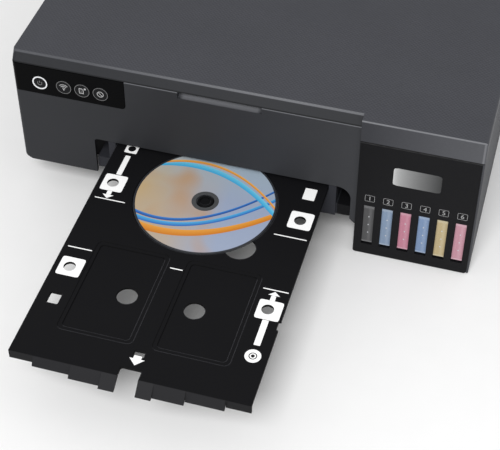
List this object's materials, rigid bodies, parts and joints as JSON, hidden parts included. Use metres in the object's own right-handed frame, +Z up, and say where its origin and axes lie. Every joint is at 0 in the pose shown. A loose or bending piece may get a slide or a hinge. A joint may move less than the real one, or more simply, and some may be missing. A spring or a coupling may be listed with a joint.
{
  "type": "disc label printer",
  "caption": "Photo printer with see-through ink tanks at its right front, a hinged lid over a belt-driven carriage, and a pull-out tray for printing discs and cards.",
  "frame": {"origin": "on the surface the printer stands on, under the centre of its box with the disc tray out", "axes": "+X to the printer's right, +Y to its back, +Z up; the front with the tray faces -Y"},
  "size_m": [0.403, 0.61, 0.15],
  "materials": {
    "case_grey": "fine spark-eroded texture",
    "lid_grey": "fine rippled grain",
    "side_grey": "fine rippled grain",
    "tank_front_black": "satin black",
    "panel_black": "piano black",
    "button_black": "satin",
    "ring_white": "frosted light guide",
    "tray_black": "fine moulded satin",
    "disc_print": "printed polycarbonate",
    "inner_black": "moulded",
    "base_black": "moulded",
    "foot_rubber": "matt",
    "ink_black": "frosted polypropylene, black ink",
    "ink_light_cyan": "frosted polypropylene, light cyan ink",
    "ink_magenta": "frosted polypropylene, magenta ink",
    "ink_cyan": "frosted polypropylene, cyan ink",
    "ink_yellow": "frosted polypropylene, yellow ink",
    "ink_light_magenta": "frosted polypropylene, light magenta ink",
    "cap_grey": "soft elastomer",
    "zinc_steel": "zinc-plated sheet",
    "ground_steel": "ground and polished",
    "motor_steel": "plated can",
    "gear_plastic": "acetal",
    "belt_rubber": "moulded",
    "roller_rubber": "ground rubber",
    "roller_coat": "gritted coat",
    "strip_film": "clear film",
    "tube_clear": "translucent tube",
    "felt_pad": "felt",
    "board_green": "solder mask"
  },
  "bodies": {
    "case": {"upper_housing": "case_grey", "right_side_cover": "side_grey", "base_pan": "base_black", "rubber_feet": "foot_rubber", "tank_front_panel": "tank_front_black", "control_panel": "panel_black", "power_ring": "ring_white", "ink_tank_1": "ink_black", "ink_tank_2": "ink_light_cyan", "ink_tank_3": "ink_magenta", "ink_tank_4": "ink_cyan", "ink_tank_5": "ink_yellow", "ink_tank_6": "ink_light_magenta", "main_frame": "zinc_steel", "side_plates": "zinc_steel", "guide_shaft": "ground_steel", "carriage_motor": "motor_steel", "timing_belt": "belt_rubber", "encoder_strip": "strip_film", "ink_tubes": "tube_clear", "feed_motor": "motor_steel", "pinch_rollers": "inner_black", "star_wheel_rail": "inner_black", "platen": "inner_black", "waste_pad": "felt_pad", "capping_station": "inner_black", "power_supply": "inner_black", "main_board": "board_green", "power_inlet": "inner_black", "feeder_frame": "inner_black", "tray_guides": "inner_black"},
    "lid": {"lid": "lid_grey"},
    "power_button": {"power_button": "button_black"},
    "wireless_button": {"wireless_button": "button_black"},
    "status_button": {"status_button": "button_black"},
    "cancel_button": {"cancel_button": "button_black"},
    "tank_cap_1": {"tank_cap_1": "cap_grey"},
    "tank_cap_2": {"tank_cap_2": "cap_grey"},
    "tank_cap_3": {"tank_cap_3": "cap_grey"},
    "tank_cap_4": {"tank_cap_4": "cap_grey"},
    "tank_cap_5": {"tank_cap_5": "cap_grey"},
    "tank_cap_6": {"tank_cap_6": "cap_grey"},
    "carriage": {"carriage": "inner_black", "print_head": "inner_black"},
    "drive_pulley": {"drive_pulley": "gear_plastic"},
    "idler_pulley": {"idler_pulley": "gear_plastic"},
    "feed_roller": {"feed_roller": "roller_coat", "feed_gear": "gear_plastic"},
    "exit_roller": {"exit_roller": "roller_rubber", "exit_gear": "gear_plastic"},
    "idler_gear": {"idler_gear": "gear_plastic"},
    "feed_pinion": {"feed_pinion": "gear_plastic"},
    "pickup_roller": {"pickup_roller": "roller_rubber"},
    "edge_guide_left": {"edge_guide_left": "inner_black"},
    "edge_guide_right": {"edge_guide_right": "inner_black"},
    "paper_support": {"paper_support": "case_grey"},
    "disc_tray": {"disc_tray": "tray_black", "disc": "disc_print"},
    "output_tray": {"output_tray": "inner_black"},
    "output_extension": {"output_extension": "inner_black"}
  },
  "joints": [
    {"name": "lid_hinge", "type": "hinge", "parent": "case", "child": "lid", "pos_m": [0, 0.191, 0.1445], "axis": [-1, 0, 0], "range_deg": [0, 58]},
    {"name": "power_button_press", "type": "slide", "parent": "case", "child": "power_button", "axis": [0, 1, 0], "range_m": [0, 0.0008], "stiffness_N_per_m": 300},
    {"name": "wireless_button_press", "type": "slide", "parent": "case", "child": "wireless_button", "axis": [0, 1, 0], "range_m": [0, 0.0008], "stiffness_N_per_m": 300},
    {"name": "status_button_press", "type": "slide", "parent": "case", "child": "status_button", "axis": [0, 1, 0], "range_m": [0, 0.0008], "stiffness_N_per_m": 300},
    {"name": "cancel_button_press", "type": "slide", "parent": "case", "child": "cancel_button", "axis": [0, 1, 0], "range_m": [0, 0.0008], "stiffness_N_per_m": 300},
    {"name": "tank_cap_1_hinge", "type": "hinge", "parent": "case", "child": "tank_cap_1", "pos_m": [0.1124, -0.021, 0.113], "axis": [-1, 0, 0], "range_deg": [0, 100]},
    {"name": "tank_cap_2_hinge", "type": "hinge", "parent": "case", "child": "tank_cap_2", "pos_m": [0.12794, -0.021, 0.113], "axis": [-1, 0, 0], "range_deg": [0, 100]},
    {"name": "tank_cap_3_hinge", "type": "hinge", "parent": "case", "child": "tank_cap_3", "pos_m": [0.14348, -0.021, 0.113], "axis": [-1, 0, 0], "range_deg": [0, 100]},
    {"name": "tank_cap_4_hinge", "type": "hinge", "parent": "case", "child": "tank_cap_4", "pos_m": [0.15902, -0.021, 0.113], "axis": [-1, 0, 0], "range_deg": [0, 100]},
    {"name": "tank_cap_5_hinge", "type": "hinge", "parent": "case", "child": "tank_cap_5", "pos_m": [0.17456, -0.021, 0.113], "axis": [-1, 0, 0], "range_deg": [0, 100]},
    {"name": "tank_cap_6_hinge", "type": "hinge", "parent": "case", "child": "tank_cap_6", "pos_m": [0.1901, -0.021, 0.113], "axis": [-1, 0, 0], "range_deg": [0, 100]},
    {"name": "carriage_slide", "type": "slide", "parent": "case", "child": "carriage", "axis": [-1, 0, 0], "range_m": [0, 0.258]},
    {"name": "drive_pulley_spin", "type": "hinge", "parent": "case", "child": "drive_pulley", "pos_m": [-0.1715, 0.119, 0.114], "axis": [0, 1, 0], "range_deg": [0, 1832]},
    {"name": "idler_pulley_spin", "type": "hinge", "parent": "case", "child": "idler_pulley", "pos_m": [0.1715, 0.119, 0.114], "axis": [0, 1, 0], "range_deg": [0, 1832]},
    {"name": "feed_roller_spin", "type": "hinge", "parent": "case", "child": "feed_roller", "pos_m": [-0.0183, 0.087, 0.0558], "axis": [1, 0, 0], "continuous": true},
    {"name": "exit_roller_spin", "type": "hinge", "parent": "case", "child": "exit_roller", "pos_m": [-0.0183, 0.006, 0.0578], "axis": [1, 0, 0], "continuous": true},
    {"name": "idler_gear_spin", "type": "hinge", "parent": "case", "child": "idler_gear", "pos_m": [-0.158, 0.04331, 0.05059], "axis": [1, 0, 0], "continuous": true},
    {"name": "feed_pinion_spin", "type": "hinge", "parent": "case", "child": "feed_pinion", "pos_m": [-0.158, 0.10692, 0.03909], "axis": [1, 0, 0], "continuous": true},
    {"name": "pickup_roller_spin", "type": "hinge", "parent": "case", "child": "pickup_roller", "pos_m": [-0.0183, 0.23294, 0.10003], "axis": [1, 0, 0], "continuous": true},
    {"name": "edge_guide_left_slide", "type": "slide", "parent": "case", "child": "edge_guide_left", "axis": [1, 0, 0], "range_m": [0, 0.06]},
    {"name": "edge_guide_right_slide", "type": "slide", "parent": "case", "child": "edge_guide_right", "axis": [1, 0, 0], "range_m": [-0.06, 0]},
    {"name": "paper_support_hinge", "type": "hinge", "parent": "case", "child": "paper_support", "pos_m": [-0.0183, 0.298, 0.143], "axis": [-1, 0, 0], "range_deg": [0, 110]},
    {"name": "disc_tray_slide", "type": "slide", "parent": "case", "child": "disc_tray", "axis": [0, 1, 0], "range_m": [-0.045, 0.19]},
    {"name": "output_tray_slide", "type": "slide", "parent": "case", "child": "output_tray", "axis": [0, -1, 0], "range_m": [0, 0.14]},
    {"name": "output_extension_slide", "type": "slide", "parent": "output_tray", "child": "output_extension", "axis": [0, -1, 0], "range_m": [0, 0.12]}
  ],
  "couplings": [
    {"joint": "drive_pulley_spin", "follows": "carriage_slide", "rad_per_m": 123.68},
    {"joint": "idler_pulley_spin", "follows": "carriage_slide", "rad_per_m": 123.68},
    {"joint": "exit_roller_spin", "follows": "feed_roller_spin", "ratio": 1.4286},
    {"joint": "idler_gear_spin", "follows": "feed_roller_spin", "ratio": -0.83333},
    {"joint": "feed_pinion_spin", "follows": "feed_roller_spin", "ratio": -3.3333},
    {"joint": "edge_guide_right_slide", "follows": "edge_guide_left_slide", "ratio": -1}
  ]
}
